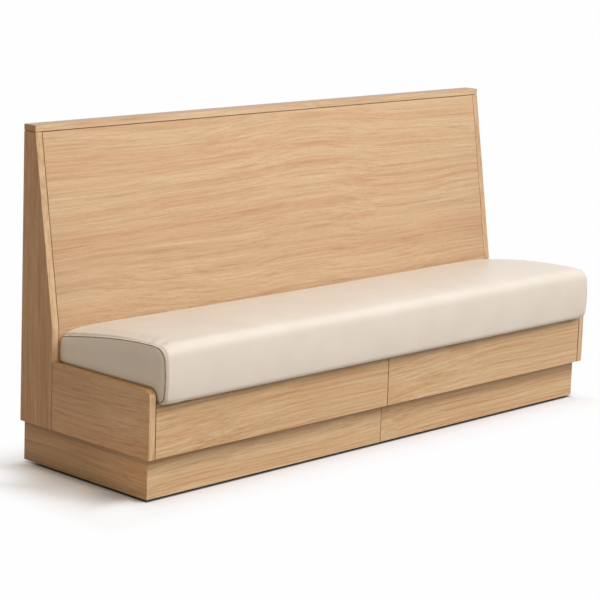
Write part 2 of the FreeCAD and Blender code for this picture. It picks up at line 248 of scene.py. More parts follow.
past = add_node(sheet, "ShaderNodeVectorMath", {0: folded, 1: half_sizes}, operation="SUBTRACT")
edges_past = add_node(sheet, "ShaderNodeSeparateXYZ", {0: past})
nearest_edge = add_node(sheet, "ShaderNodeMath", {0: edges_past.outputs[0], 1: edges_past.outputs[1]},
                        operation="MAXIMUM")
left, ahead = [add_node(sheet, "ShaderNodeMath", {
    0: place.outputs[axis], 1: -1.0, 2: edge,
}, operation="MULTIPLY_ADD") for axis, edge in ((0, -plinth_end), (1, plinth_front))]
depth = place.outputs[1]
value = {"directly": seen_directly(sheet)}
# Smooth steps: what each one follows, where it starts and stops in metres, and its value there
steps = {
    "gap": (nearest_edge, -0.004, 0.008, 0.85, 0),
    "behind": (depth, 0.1, 0.52, 0, 1), "clear of the left": (left, 0, 0.1, 0, 1),
    "clear of the rear": (depth, 0.25, 0.35, 0, 1), "rearward": (depth, 0.06, 0.28, 0, 1),
    "far left": (left, 0.13, 0.32, 0, 1), "near left": (left, 0, 0.2, 0, 1),
    "right": (place.outputs[0], 1.0, 1.12, 0, 1), "front": (ahead, 0, 0.2, 0, 1),
    "forward": (depth, -0.27, -0.17, 0.65, 0), "off the end": (left, 0.03, 0.1, 0, 1),
    "beside": (left, -0.005, -0.004, 0, 1), "before": (ahead, -0.005, -0.004, 0, 1),
    "within the ends": (edges_past.outputs[0], -0.001, 0, 1, 0),
    "end starts": (depth, -0.267, -0.222, 0, 1), "end stops": (depth, 0.23, 0.33, 1, 0),
    "lean starts": (depth, -0.25, -0.16, 0, 1), "lean stops": (depth, -0.16, 0, 1, 0),
    "close": (left, 0, 0.045, 0.45, 0), "wide": (left, 0.02, 0.2, 0.4, 0),
    "along": (ahead, 0, 0.08, 0.12, 0),
}
for name, (source, begin, end, low, high) in steps.items():
    value[name] = add_node(sheet, "ShaderNodeMapRange", {0: source, 1: begin, 2: end, 3: low, 4: high},
                           interpolation_type="SMOOTHSTEP")
# How the steps join. The first ten lines give how far the shadow has faded, and the rest
# give the shade along the left end and along the front.
joins = {
    "clear": ("MAXIMUM", "clear of the left", "clear of the rear"),
    "faded behind": ("MULTIPLY", "behind", "clear"),
    "leaning left": ("MULTIPLY", "near left", "rearward"),
    "faded left": ("MAXIMUM", "far left", "leaning left"),
    "faded beside": ("MAXIMUM", "faded left", "right"),
    "front corner": ("MULTIPLY", "forward", "off the end"),
    "faded in front": ("MAXIMUM", "front", "front corner"),
    "faded around": ("MAXIMUM", "faded beside", "faded in front"),
    "faded": ("MAXIMUM", "faded around", "faded behind"),
    "white": ("MULTIPLY", "faded", "directly"),
    "lean": ("MULTIPLY", "lean starts", "lean stops"),
    "wide shade": ("MULTIPLY", "wide", "lean"),
    "left shade": ("MAXIMUM", "close", "wide shade"),
    "along the end": ("MULTIPLY", "end starts", "end stops"),
    "on the left": ("MULTIPLY", "along the end", "beside"),
    "end shade": ("MULTIPLY", "left shade", "on the left"),
    "in front": ("MULTIPLY", "before", "within the ends"),
    "front shade": ("MULTIPLY", "along", "in front"),
    "both shades": ("MAXIMUM", "end shade", "front shade"),
    "shade": ("MAXIMUM", "gap", "both shades"),
    "shade seen": ("MULTIPLY", "shade", "directly"),
}
for name, (operation, first, second) in joins.items():
    value[name] = add_node(sheet, "ShaderNodeMath", {0: value[first], 1: value[second]},
                           operation=operation)
key_share = key_light.energy * towards_key.normalized().z / math.pi
lit = [key_share + box_share * cool + warm * (1 + front_gain_share * front_share)
       for cool, warm in zip(box_light.color, fill_light)]
seen_colour = [paper_white / part for part in lit] + [1]
shaded = coated(sheet, floor_bounce, [
    (value["directly"], seen_colour, "MIX"), (value["shade seen"], linear(deepest_shade), "MIX"),
])
pale = add_node(sheet, "ShaderNodeBsdfDiffuse", {"Color": shaded})
glow = add_node(sheet, "ShaderNodeEmission", {"Color": (1, 1, 1, 1), "Strength": paper_white})
both = add_node(sheet, "ShaderNodeMixShader", {0: value["white"], 1: pale, 2: glow})
add_node(sheet, "ShaderNodeOutputMaterial", {"Surface": both})
floor_mesh.materials.append(paper)
print("floor lit at", [round(part, 2) for part in lit])

# %% [markdown]
# ## Oak veneer
#
# The boards are faced with thin leaves of white oak under a clear matt lacquer. Oak shows
# broad soft bands from its growth, narrow darker streaks that wander a little, and fine
# open pores a few centimetres long. All of them are noise stretched along the grain, and
# one slow noise bends their lines. Real pores are 0.3 mm wide, too fine for the picture,
# so the finest streaks are drawn about 2 mm wide.
#
# One group holds the grain, and every board is given its own leaf: a direction for the
# grain and a place in the pattern. Where a face is square to the grain, as on the front
# edge of an end panel, the edging runs along the edge instead.

# %% Oak grain as a node group
def stretched_noise(path, along, across, detail, roughness=0.5):
    """Noise that repeats so often in a metre along the grain, and so often across it."""
    stretched = add_node(grain, "ShaderNodeVectorMath", {0: path, 1: (along, across, across)},
                         operation="MULTIPLY")
    return add_node(grain, "ShaderNodeTexNoise", {
        "Vector": stretched, "Scale": 1.0, "Detail": detail, "Roughness": roughness,
    })


grain = bpy.data.node_groups.new("Oak grain", "ShaderNodeTree")
grain.interface.new_socket("Along X", in_out="INPUT", socket_type="NodeSocketVector")
grain.interface.new_socket("Tone", in_out="OUTPUT", socket_type="NodeSocketFloat")
grain.interface.new_socket("Pores", in_out="OUTPUT", socket_type="NodeSocketFloat")
grain.interface.new_socket("Blush", in_out="OUTPUT", socket_type="NodeSocketFloat")
entry = add_node(grain, "NodeGroupInput")
along_x = entry.outputs[0]
bend = add_node(grain, "ShaderNodeMapRange", {
    0: stretched_noise(along_x, 0.8, 2.0, 1.5), 3: -60 * MM, 4: 60 * MM,
})
aside = add_node(grain, "ShaderNodeCombineXYZ", {1: bend, 2: bend})
bent = add_node(grain, "ShaderNodeVectorMath", {0: along_x, 1: aside}, operation="ADD")

# Each layer: how many times it repeats in a metre along and across the grain, and its share
layers = {"bands": (0.3, 14.0, 0.35), "streaks": (0.8, 110.0, 0.9), "fibres": (2.6, 300.0, 0.9)}
total = None
for layer, (along, across, share) in layers.items():
    part = add_node(grain, "ShaderNodeMapRange", {
        0: stretched_noise(bent, along, across, 2.0, 0.55), 1: 0.3, 2: 0.7, 3: -share, 4: share,
    }, clamp=False)
    if total is None:
        total = part
    else:
        total = add_node(grain, "ShaderNodeMath", {0: total, 1: part}, operation="ADD")
tone = add_node(grain, "ShaderNodeMapRange", {0: total, 1: -2.9, 2: 2.9})
redder = add_node(grain, "ShaderNodeMapRange", {0: stretched_noise(bent, 0.6, 24, 2.0), 1: 0.4, 2: 0.68})
pores = add_node(grain, "ShaderNodeMapRange", {0: stretched_noise(bent, 26, 900, 1.0), 1: 0.56, 2: 0.72})
add_node(grain, "NodeGroupOutput", {0: tone, 1: pores, 2: redder})
print("grain layers:", ", ".join(layers))

# %% [markdown]
# ## Faces of a board
#
# A board's material has to tell its faces from its edges. It does so by the direction that
# a face looks along, in the board's own axes.

# %% Tell faces apart
axis_vectors = {"x": (1, 0, 0), "y": (0, 1, 0), "z": (0, 0, 1)}
upwards, frontwards = (0, 0, 1), (0, -1, 0)
squarely = 0.7              # least share at which a face counts as turned to a direction


def new_material(name):
    """A new material with one principled shader, given with its tree and that shader."""
    material = bpy.data.materials.new(name)
    tree = emptied(material)
    shader = add_node(tree, "ShaderNodeBsdfPrincipled")
    add_node(tree, "ShaderNodeOutputMaterial", {"Surface": shader})
    return material, tree, shader


def tone_ramp(tree, factor, stops):
    """Colours by place from 0 to 1, given as hex."""
    ramp = add_node(tree, "ShaderNodeValToRGB", {0: factor})
    ends = ramp.color_ramp.elements
    while len(ends) < len(stops):
        ends.new(0.5)
    for stop, (place, code) in zip(ends, stops):
        stop.position = place
        stop.color = linear(code)
    return ramp


def facing_share(tree, spot, direction):
    """How far a face points along a direction: 1 straight along it, -1 straight against it."""
    facing = add_node(tree, "ShaderNodeVectorMath", {0: spot.outputs["Normal"], 1: direction},
                      operation="DOT_PRODUCT")
    return facing.outputs["Value"]


def square_to(tree, spot, axis):
    """How squarely a face stands across an axis, on either side: 1 square, 0 alongside."""
    facing = facing_share(tree, spot, axis_vectors[axis])
    return add_node(tree, "ShaderNodeMath", {0: facing}, operation="ABSOLUTE")


def turned_to(tree, spot, direction, least=squarely):
    """1 on a face that looks along a direction, by at least a share, and 0 elsewhere."""
    return add_node(tree, "ShaderNodeMath", {0: facing_share(tree, spot, direction), 1: least},
                    operation="GREATER_THAN")


print("a face counts as turned to a direction from", squarely)

# %% [markdown]
# ## Oak for one board
#
# Over its grain a board takes stain in the pores and its leaf's own tone. Some boards get
# painted shade that deepens towards an edge, where the room's light doesn't reach as well,
# and a few get painted light. The end panels have light solid edging in front, painted shade
# on their top edges and dark stain inside their joints. The cap has painted shade on its top
# and one flat colour on its ends.

# %% Oak for one board
grain_turns = {"x": (0, 0, 0), "y": (0, 0, -math.pi / 2), "z": (0, math.pi / 2, 0)}
edge_grain = {"x": "y", "y": "z", "z": "x"}
oak_tones = ((0.0, "#BE9069"), (0.3, "#D1AB86"), (0.55, "#DDBD9A"), (1.0, "#EBD2B3"))
blush = "#FAF1EC"
pore_brown = "#A67A4F"
pore_strength = 0.35
joint_brown = "#5E432C"
left_end_brown = "#86684A"
top_edge_painted_shade = "#C49A6C"
cap_top_painted_shade, cap_end_oak = "#C4A286", "#C09A70"
contrast_cut = 0.14         # share of the tones that is cut off at both ends
under_deck = 0.3025         # level of the deck's underside, in metres
groove_front = 0.1701       # where the seat end panels go into the tall ones, in metres
edging_gains = {"seat": (1.1, 1.12, 1.12), "back": (1.0, 1.02, 1.02)}


def end_panel_coats(tree, spot, place, stained, board):
    """Light solid edging on the front edge, painted shade on the top edge and dark stain in the joints."""
    lighter = add_node(tree, "ShaderNodeVectorMath", {0: stained, 1: edging_gains[board.split("_")[0]]},
                       operation="MULTIPLY")
    inward = turned_to(tree, spot, (1, 0, 0) if "left" in board else (-1, 0, 0))
    low = add_node(tree, "ShaderNodeMath", {0: place.outputs[2], 1: under_deck}, operation="LESS_THAN")
    in_joint = add_node(tree, "ShaderNodeMath", {0: low, 1: inward}, operation="MULTIPLY")
    if "seat" in board:
        groove = add_node(tree, "ShaderNodeMath", {0: place.outputs[1], 1: groove_front},
                          operation="GREATER_THAN")
        in_joint = add_node(tree, "ShaderNodeMath", {0: in_joint, 1: groove}, operation="MAXIMUM")
    return [
        (turned_to(tree, spot, frontwards), lighter, "MIX"),
        # Painted shade on the top edge
        (turned_to(tree, spot, upwards, 0.5), linear(top_edge_painted_shade), "MIX"),
        (in_joint, linear(joint_brown), "MIX"),
    ]


def oak(board, direction, leaf, tone, painted_shades):
    """Lacquered white oak for one board: its grain's direction, its leaf, tone, and painted shade and
    light.
    """
    material, tree, shader = new_material("White oak veneer, " + board.replace("_", " "))
    spot = add_node(tree, "ShaderNodeTexCoord")
    shift = (0.37 * leaf, 0.61 * leaf, 0.23 * leaf)
    faces, edges = [add_node(tree, "ShaderNodeMapping", {
        "Vector": spot.outputs["Object"], "Location": shift, "Rotation": grain_turns[axis],
    }) for axis in (direction, edge_grain[direction])]
    is_edge = add_node(tree, "ShaderNodeMath", {0: square_to(tree, spot, direction), 1: squarely},
                       operation="GREATER_THAN")
    lines = add_node(tree, "ShaderNodeMix", {0: is_edge, 4: faces, 5: edges}, data_type="VECTOR")
    figure = add_node(tree, "ShaderNodeGroup", {0: lines.outputs[1]}, node_tree=grain)
    cut = 0.0 if board == "back_panel" else contrast_cut
    contrast = add_node(tree, "ShaderNodeMapRange", {0: figure.outputs["Tone"], 1: cut, 2: 1 - cut})
    pore_share = add_node(tree, "ShaderNodeMath", {0: figure.outputs["Pores"], 1: pore_strength},
                          operation="MULTIPLY")
    stained = coated(tree, tone_ramp(tree, contrast, oak_tones), [
        (figure.outputs["Blush"], linear(blush), "MULTIPLY"), (pore_share, linear(pore_brown), "MIX"),
    ])
    place = add_node(tree, "ShaderNodeSeparateXYZ", {0: spot.outputs["Object"]})
    shades = [(*tone, 1)]
    # Painted shade and light, each along one of the board's axes
    for axis, start, stop, low, high in painted_shades:
        shades.append(add_node(tree, "ShaderNodeMapRange", {
            0: place.outputs[axis], 1: start, 2: stop, 3: low, 4: high,
        }, interpolation_type="SMOOTHSTEP"))
    toned = coated(tree, stained, [(1.0, shade, "MULTIPLY") for shade in shades])
    coats = []
    if "end_panel" in board:
        coats = end_panel_coats(tree, spot, place, stained, board)
    elif board == "top_cap":
        # Painted shade on the cap's top face
        coats = [(turned_to(tree, spot, upwards), linear(cap_top_painted_shade), "MIX"),
                 (is_edge, linear(cap_end_oak), "MIX")]
    elif direction == "x" and "back" not in board:
        coats = [(is_edge, linear(joint_brown if "right" in board else left_end_brown), "MIX")]
    polish = add_node(tree, "ShaderNodeMapRange", {0: figure.outputs["Pores"], 3: 0.42, 4: 0.6})
    dents = add_node(tree, "ShaderNodeBump", {
        "Height": figure.outputs["Pores"], "Strength": 0.35, "Distance": -0.15 * MM,
    })
    plug(tree, shader, {"Base Color": coated(tree, toned, coats), "Roughness": polish, "Normal": dents,
                        "IOR": 1.5, "Specular IOR Level": 0.3})
    return material


print("oak tones:", len(oak_tones))

# %% [markdown]
# ## Leaves of oak
#
# Each board gets its own leaf. Those of the end boards are redder, and those of the tall and
# plinth ends also darker, which is partly painted shade; those of the low boards are a little
# lighter. Painted shade deepens a board's colour where the boards meet, under the nose of the
# cushion, and towards the floor, and painted light brightens the ends of the seat box and
# plinth towards the front.

# %% Lay the oak on its boards
# Painted shade and light on a board: the axis it follows, where it starts and stops in metres,
# and the strength of the colour at both
painted_shade_edges = {"back_panel": [(2, 0.42, 1.0, 0.85, 1.02)]}
for name in ("left", "right"):
    painted_shade_edges["seat_fascia_" + name] = [(2, 0.262, 0.298, 1.0, 0.76)]
    painted_shade_edges["plinth_front_" + name] = [(2, 0.065, 0.116, 1.0, 0.69)]
    painted_shade_edges["seat_end_panel_" + name] = [
        (2, 0.13, 0.38, 1.07, 0.96), (1, -0.32, 0.15, 1.07, 0.92), (1, 0.1665, 0.1695, 1.0, 0.5),
    ]
    painted_shade_edges["plinth_end_" + name] = [
        (2, 0.008, 0.06, 0.72, 1.0), (1, -0.253, 0.07, 1.36, 0.95), (2, 0.112, 0.117, 1.0, 0.8),
    ]

# Grain direction and tone of each board's leaf
front_leaf = (1.0, 1.0, 1.0)
# The darker end leaf is partly painted shade on the ends, which stand in the room's shade
end_leaf_with_painted_shade = (0.86, 0.775, 0.69)
seat_end_leaf = (1.0, 0.92, 0.86)
low_leaf = (1.04, 1.05, 1.02)
oak_boards = {
    "back_panel": ("x", front_leaf), "back_lower_panel": ("x", front_leaf), "rear_panel": ("x", front_leaf),
    "seat_fascia_left": ("x", low_leaf), "seat_fascia_right": ("x", low_leaf),
    "plinth_front_left": ("x", low_leaf), "plinth_front_right": ("x", low_leaf),
    "seat_end_panel_left": ("y", seat_end_leaf), "seat_end_panel_right": ("y", seat_end_leaf),
    "plinth_end_left": ("y", end_leaf_with_painted_shade), "plinth_end_right": ("y", end_leaf_with_painted_shade),
    "back_end_panel_left": ("z", end_leaf_with_painted_shade), "back_end_panel_right": ("z", end_leaf_with_painted_shade),
    "top_cap": ("x", (1.07, 1.1, 1.12)),
}


def finish_node(node, material):
    """Give a CAD node its material. Only its slots change."""
    boards[node].data.materials.clear()
    boards[node].data.materials.append(material)


for leaf, (board, (direction, tone)) in enumerate(oak_boards.items()):
    finish_node(board, oak(board, direction, leaf, tone, painted_shade_edges.get(board, ())))
print("oak boards:", len(oak_boards))

# %% [markdown]
# ## Plywood inside
#
# The ribs, the deck and the boards under it are birch plywood: a pale close-grained face,
# and on the cut edges thin plies that are light and dark in turn. Most of it shows only
# from behind and below, or when the cushion is lifted.

# %% Birch plywood
plywood_boards = {"base_board": "z", "seat_deck": "z", "cushion_board": "z"}
for rib in ("left_end", "left", "middle", "right", "right_end"):
    plywood_boards["seat_rib_" + rib] = "x"
    plywood_boards["back_rib_" + rib] = "x"
birch_tones = ((0.0, "#C9A878"), (0.5, "#DCC196"), (1.0, "#E8D3AE"))
dark_birch = "#94683C"
ply_contrast = 0.55
ply_thickness = 1.4 * MM


def plywood(direction):
    """Birch plywood whose plies are stacked along a direction."""
    material, tree, shader = new_material("Birch plywood, plies along " + direction)
    spot = add_node(tree, "ShaderNodeTexCoord")
    figure = add_node(tree, "ShaderNodeGroup", {0: spot.outputs["Object"]}, node_tree=grain)
    place = add_node(tree, "ShaderNodeVectorMath", {0: spot.outputs["Object"], 1: axis_vectors[direction]},
                     operation="DOT_PRODUCT")
    layer = add_node(tree, "ShaderNodeMath", {0: place.outputs["Value"], 1: 0.5 / ply_thickness},
                     operation="MULTIPLY")
    turn_share = add_node(tree, "ShaderNodeMath", {0: layer}, operation="FRACT")
    dark_ply = add_node(tree, "ShaderNodeMath", {0: turn_share, 1: 0.5}, operation="GREATER_THAN")
    on_edge = add_node(tree, "ShaderNodeMath", {0: square_to(tree, spot, direction), 1: squarely},
                       operation="LESS_THAN")
    striped = add_node(tree, "ShaderNodeMath", {0: dark_ply, 1: on_edge}, operation="MULTIPLY")
    shade = add_node(tree, "ShaderNodeMath", {0: striped, 1: ply_contrast}, operation="MULTIPLY")
    plies = [(shade, linear(dark_birch), "MIX")]
    colour = coated(tree, tone_ramp(tree, figure.outputs["Tone"], birch_tones), plies)
    plug(tree, shader, {"Base Color": colour, "Roughness": 0.62, "IOR": 1.5})
    return material


plywoods = {direction: plywood(direction) for direction in ("x", "z")}
for board, direction in plywood_boards.items():
    finish_node(board, plywoods[direction])
print("plywood boards:", len(plywood_boards))

# %% [markdown]
# ## Pine inside
#
# The rails and blocks are planed pine, yellower than the oak, with wide growth rings.

# %% Planed pine
pine_boards = {
    "plinth_rear_rail": "x", "front_rail": "x", "back_top_rail": "x", "plinth_cross_rail_left": "y",
    "plinth_cross_rail_right": "y", "leveller_blocks": "z", "fascia_joint_blocks": "z",
}
ring_count = 5.0
pine_tones = ((0.0, "#C39A5E"), (0.45, "#DDBB85"), (1.0, "#EBD3A4"))


def pine(direction):
    """Planed pine with its grain along a direction."""
    material, tree, shader = new_material("Planed pine, grain along " + direction)
    spot = add_node(tree, "ShaderNodeTexCoord")
    laid = add_node(tree, "ShaderNodeMapping", {
        "Vector": spot.outputs["Object"], "Location": (0.4, 0.9, 0.2), "Rotation": grain_turns[direction],
    })
    figure = add_node(tree, "ShaderNodeGroup", {0: laid}, node_tree=grain)
    rings = add_node(tree, "ShaderNodeMath", {0: figure.outputs["Tone"], 1: ring_count},
                     operation="MULTIPLY")
    ring_share = add_node(tree, "ShaderNodeMath", {0: rings, 1: 1.0}, operation="PINGPONG")
    colour = tone_ramp(tree, ring_share, pine_tones)
    plug(tree, shader, {"Base Color": colour, "Roughness": 0.6, "IOR": 1.5})
    return material


pines = {direction: pine(direction) for direction in "xyz"}
for board, direction in pine_boards.items():
    finish_node(board, pines[direction])
print("pine boards:", len(pine_boards))

# %% [markdown]
# ## Steel and nylon
#
# Screws, studs, inserts and floor brackets are zinc-plated steel: a bright metal with a
# faint cloudy bloom from the bath. The feet's pads are moulded black nylon with the fine
# even texture of the mould.

# %% Zinc-plated steel and black nylon
def mottled(name, scale, dark, light, finish, detail=2.0):
    """A material that drifts between two tones, and its tree, its shader and its noise."""
    material, tree, shader = new_material(name)
    spot = add_node(tree, "ShaderNodeTexCoord")
    drift = add_node(tree, "ShaderNodeTexNoise", {
        "Vector": spot.outputs["Object"], "Scale": scale, "Detail": detail,
    })
    plug(tree, shader, {"Base Color": tone_ramp(tree, drift, ((0.3, dark), (0.7, light))), **finish})
    return material, tree, shader, drift


steel, tree, shader, bloom = mottled("Zinc-plated steel", 160.0, "#9EA3A6", "#BFC4C7", {"Metallic": 1.0})
plug(tree, shader, {"Roughness": add_node(tree, "ShaderNodeMapRange", {0: bloom, 3: 0.28, 4: 0.44})})
nylon, tree, shader, texture = mottled("Black moulded nylon", 1500.0, "#1C1C1D", "#242425",
                                       {"Roughness": 0.5, "IOR": 1.53})
relief = add_node(tree, "ShaderNodeBump", {"Height": texture, "Strength": 0.2, "Distance": 0.1 * MM})
plug(tree, shader, {"Normal": relief})

steel_nodes = [name for name in boards if name.endswith("_screws") or name.startswith("foot_stud")]
steel_nodes += ["leveller_inserts", "floor_brackets"]
nylon_nodes = [name for name in boards if name.startswith("foot_pad")]
for node in steel_nodes:
    finish_node(node, steel)
for node in nylon_nodes:
    finish_node(node, nylon)
print("steel:", len(steel_nodes), "nylon:", len(nylon_nodes))

# %% [markdown]
# ## Cushion outline
#
# The cushion is one long pad of firm foam in a leather cover. Its section is the same all
# along, apart from its ends, where the seams pull it in: a high rounded nose that hangs
# over the seat box, a crowned top that falls towards the back, and a flat underside. The
# section is worked out in millimetres, as four sides that are each cut into equal steps,
# so that every ring of the mesh has the same number of points.

# %% Section of the cushion
cushion_half = 1020.0
slack = 3.0                                                     # how much too small the shell is made
rear_place, board_front, front_place = 151.5, 600.3, 641.5      # set back from the booth's back
underside_level, nose_level = 303.3, 302.5
rear_level, front_level = 457.0, 484.0
rear_radius, shoulder_radius, nose_radius = 25.0, 36.0, 18.0
crown_height, crown_lean, face_bow = 12.0, 3.6, 3.5
stitch_place, stitch_reach = 6, 1.9
side_steps = {"bottom": 44, "front": 20, "top": 44, "rear": 20}


def even_steps(path, count):
    """A path cut into a number of equal steps, without its last point."""
    path = np.array(path)
    lengths = np.concatenate(([0], np.cumsum(np.linalg.norm(np.diff(path, axis=0), axis=1))))
    goals = np.arange(count) * lengths[-1] / count
    return np.column_stack([np.interp(goals, lengths, path[:, axis]) for axis in (0, 1)])


def section_of_cushion(distance, inset):
    """Ring of set-backs and levels at a distance from the end seam. Inset makes it smaller."""
    def pull(reach):
        return math.exp(-distance / reach)

    inset += max(0, 1 - abs(distance - stitch_place) / stitch_reach)    # a shallow line at the stitches
    rear_drop = 0.7 * pull(4.5) + 0.3 * pull(55)
    front_drop = 0.85 * pull(5) + 0.15 * pull(55)
    crown_share = 1 - 0.22 * pull(4.5)
    rear, front = rear_place + inset, front_place - 12 * pull(2.6) - inset
    bottom = underside_level + min(inset, 0.4)
    nose_bottom = nose_level + 6 * pull(2.6) + max(inset - slack, 0)
    top_rear, top_front = rear_level - 25 * rear_drop - inset, front_level - 9 * front_drop - inset
    r_rear, r_front = rear_radius - inset, shoulder_radius + 10 * pull(30) - inset
    r_nose = nose_radius + 10 * pull(40) - inset
    quarter = [(math.sin(turn), math.cos(turn)) for turn in np.linspace(0, math.pi / 2, 9)]
    bow = [(share, 1 - share * share) for share in np.linspace(-1, 1, 13)]
    face_low, face_high = nose_bottom + r_nose, top_front - r_front
    nose = [(front - r_nose + r_nose * a, face_low - r_nose * b) for a, b in quarter]
    face = [(front + face_bow * rise, (face_low + face_high) / 2 + (face_high - face_low) / 2 * share)
            for share, rise in bow]
    shoulder = [(front - r_front + r_front * b, face_high + r_front * a) for a, b in quarter]
    crown_front, crown_rear = front - r_front, rear + r_rear
    middle, half_depth = (crown_front + crown_rear) / 2, (crown_front - crown_rear) / 2
    mean_top, half_fall = (top_front + top_rear) / 2, (top_front - top_rear) / 2
    crown = [(middle - half_depth * share,
              mean_top - half_fall * share + (crown_height - crown_lean * share) * rise * crown_share)
             for share, rise in bow]
    rear_round = [(crown_rear - r_rear * a, top_rear - r_rear + r_rear * b) for a, b in quarter]
    paths = {"bottom": [(rear, bottom), (board_front, bottom), nose[0]], "front": nose + face[1:],
             "top": shoulder + crown[1:], "rear": rear_round + [(rear, bottom)]}
    return np.concatenate([even_steps(paths[side], steps) for side, steps in side_steps.items()])


whole = section_of_cushion(cushion_half, 0)
section_size = np.ptp(whole, axis=0).round(1)
print("section:", section_size[0], "by", section_size[1], "mm,", len(whole), "points")

# %% [markdown]
# ## Cushion mesh
#
# Rings of that section stand close together near the end seams, where the leather bends
# sharply, and about 15 mm apart along the rest. Each end is closed by a boxing panel: a
# few rings that round over, and then a patch that carries its four sides across, so that
# no fan of thin triangles meets in the middle. The mesh is made 3 mm too small all round,
# because the simulation swells it.

# %% Mesh of the cushion
near_seam = [0, 0.9, 2.5, 4.2, stitch_place, 7.8, 10.5, 14, 20, 28, 38, 52, 68]
even_rings = 66
half_rings = near_seam + list(np.linspace(near_seam[-1], cushion_half, even_rings)[1:])
stations = [(-cushion_half + d, d) for d in half_rings]
stations += [(cushion_half - d, d) for d in reversed(half_rings[:-1])]
ring_size = sum(side_steps.values())
wide, tall = side_steps["bottom"], side_steps["front"]
cap_steps = [(0.9, 0.5), (2.5, 1.4), (6, 2.8), (12, 3.8)]      # inset from the seam, and swell
end_slack = 1.5


def shell_inset(distance):
    """How much smaller the shell is than the pad at a distance from a seam, which holds it."""
    return slack - 2.4 * math.exp(-distance / 2)


def end_patch(edge):
    """Points that fill a ring, row by row from the bottom: its four sides carried across."""
    ring = np.vstack([edge, edge[:1]])
    low, front = ring[:wide + 1], ring[wide:wide + tall + 1]
    high, rear = ring[wide + tall:2 * wide + tall + 1][::-1], ring[2 * wide + tall:][::-1]
    rows = []
    for row in range(tall + 1):
        v = row / tall
        for column in range(wide + 1):
            u = column / wide
            sides = (1 - v) * low[column] + v * high[column] + (1 - u) * rear[row] + u * front[row]
            corners = ((1 - u) * (1 - v) * low[0] + u * (1 - v) * low[wide]
                       + u * v * high[wide] + (1 - u) * v * high[0])
            rows.append(sides - corners)
    return np.array(rows).reshape(tall + 1, wide + 1, 3)


rings = [np.column_stack([np.full(ring_size, x), section_of_cushion(distance, shell_inset(distance))])
         for x, distance in stations]
border = [(0, column) for column in range(wide)] + [(row, wide) for row in range(tall)]
border += [(tall, column) for column in range(wide, 0, -1)] + [(row, 0) for row in range(tall, 0, -1)]
points = [tuple(place) for ring in rings for place in ring]
faces = []
seam_shade_strips = []
for number in range(len(rings) - 1):
    first, second = number * ring_size, (number + 1) * ring_size
    for step in range(ring_size):
        after = (step + 1) % ring_size
        faces.append((first + step, second + step, second + after, first + after))
for side, seam_ring in ((-1, 0), (1, len(rings) - 1)):
    edge = [seam_ring * ring_size + step for step in range(ring_size)]
    seam_shade_strips += [len(faces), 0 if side < 0 else (len(rings) - 2) * ring_size]
    for inset, swell in cap_steps:
        ring = section_of_cushion(0, shell_inset(inset) + inset)
        x = side * (cushion_half + swell - end_slack)
        start = len(points)
        points.extend((x, *place) for place in ring)
        for step in range(ring_size):
            after = (step + 1) % ring_size
            face = (edge[step], edge[after], start + after, start + step)
            faces.append(face if side < 0 else face[::-1])
        edge = list(range(start, start + ring_size))
    patch = end_patch(np.array([points[index] for index in edge]))
    grid = [[None] * (wide + 1) for _ in range(tall + 1)]
    for (row, column), index in zip(border, edge):
        grid[row][column] = index
    for row in range(1, tall):
        for column in range(1, wide):
            grid[row][column] = len(points)
            points.append(tuple(patch[row][column]))
    for low_row, high_row in zip(grid, grid[1:]):
        for column in range(wide):
            face = (low_row[column], low_row[column + 1], high_row[column + 1], high_row[column])
            faces.append(face[::-1] if side < 0 else face)

cushion_mesh = bpy.data.meshes.new("cushion_leather")
vertices = [(x * MM, booth_back - setback * MM, z * MM) for x, setback, z in points]
cushion_mesh.from_pydata(vertices, [], faces)
cushion_mesh.validate()
# Painted shade: the strips beside each end seam take the dark seam material
for start in seam_shade_strips:
    for face in cushion_mesh.polygons[start:start + ring_size]:
        face.material_index = 2
sewn = bmesh.new()
sewn.from_mesh(cushion_mesh)
bmesh.ops.recalc_face_normals(sewn, faces=sewn.faces)
sewn.to_mesh(cushion_mesh)
sewn.free()
cushion = in_scene("cushion_leather", cushion_mesh)
print("cushion:", len(cushion_mesh.vertices), "points", len(cushion_mesh.polygons), "faces")

# %% [markdown]
# ## Filling the cushion
#
# Blender's Cloth with pressure swells the small shell as foam fills a cover. The seams and
# the flat underside are pinned, gravity is off, and no point may move further than the
# shell was made too small, so the pad ends at the size of its CAD solid.

# %% Swell the cover
most_move = 3.7
pinned_below = 304.2
last_frame = 20
start_places = np.array([tuple(v.co) for v in cushion_mesh.vertices])
seam_points = list(range(ring_size)) + list(range((len(rings) - 1) * ring_size, len(rings) * ring_size))
underside = [index for index, place in enumerate(start_places) if place[2] < pinned_below * MM]
pinned = cushion.vertex_groups.new(name="Pinned")
pinned.add(sorted(set(seam_points + underside)), 1.0, "REPLACE")
cover = cushion.modifiers.new("Cover", "CLOTH")
cover.settings.quality = 5
cover.settings.mass = 0.4
cover.settings.use_pressure = True
cover.settings.uniform_pressure_force = 4
cover.settings.vertex_group_mass = pinned.name
cover.settings.effector_weights.gravity = 0
cover.point_cache.frame_start = 1
cover.point_cache.frame_end = last_frame
for frame_number in range(1, last_frame + 1):
    scene.frame_set(frame_number)
ends = np.array([tuple(v.co) for v in evaluated(cushion).data.vertices])
cushion.modifiers.remove(cover)
scene.frame_set(1)
moves = ends - start_places
reach = np.linalg.norm(moves, axis=1, keepdims=True)
print("moves: mean", (reach.mean() / MM).round(1), "most", (reach.max() / MM).round(1), "mm")
moves *= np.minimum(1, most_move * MM / np.maximum(reach, 1e-9))
cushion_mesh.vertices.foreach_set("co", (start_places + moves).ravel())
cushion_mesh.update()

# %% [markdown]
# ## Seams
#
# At each end seam the leather is gathered a little, which leaves faint puckers that fade
# within a few centimetres. One level of subdivision then rounds the mesh.

